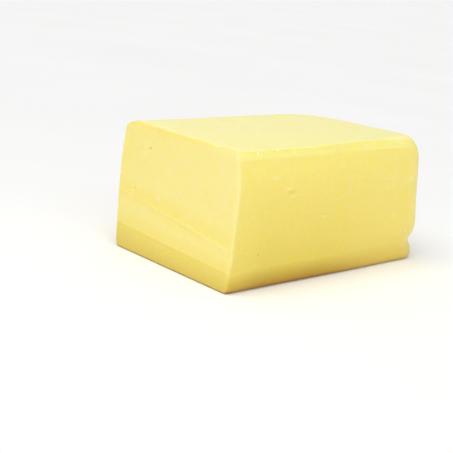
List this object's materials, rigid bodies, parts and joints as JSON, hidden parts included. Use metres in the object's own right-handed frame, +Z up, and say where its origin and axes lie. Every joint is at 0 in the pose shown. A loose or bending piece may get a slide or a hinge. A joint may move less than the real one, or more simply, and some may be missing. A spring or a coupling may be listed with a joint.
{
  "type": "mozzarella block",
  "caption": "Block of firm yellow mozzarella: a moulded loaf with soft, slightly bellied sides, cut off square at an end and resting on its flat foot.",
  "frame": {"origin": "middle of the block's box, at the level of the foot it rests on", "axes": "+X along the loaf from the cut end to the moulded end, +Y to the loaf's back, +Z up"},
  "size_m": [0.2238, 0.128, 0.1021],
  "materials": {
    "cheese": "waxy, faintly translucent cheese with a soft sheen"
  },
  "bodies": {
    "root": {"cheese_block": "cheese"}
  },
  "joints": []
}
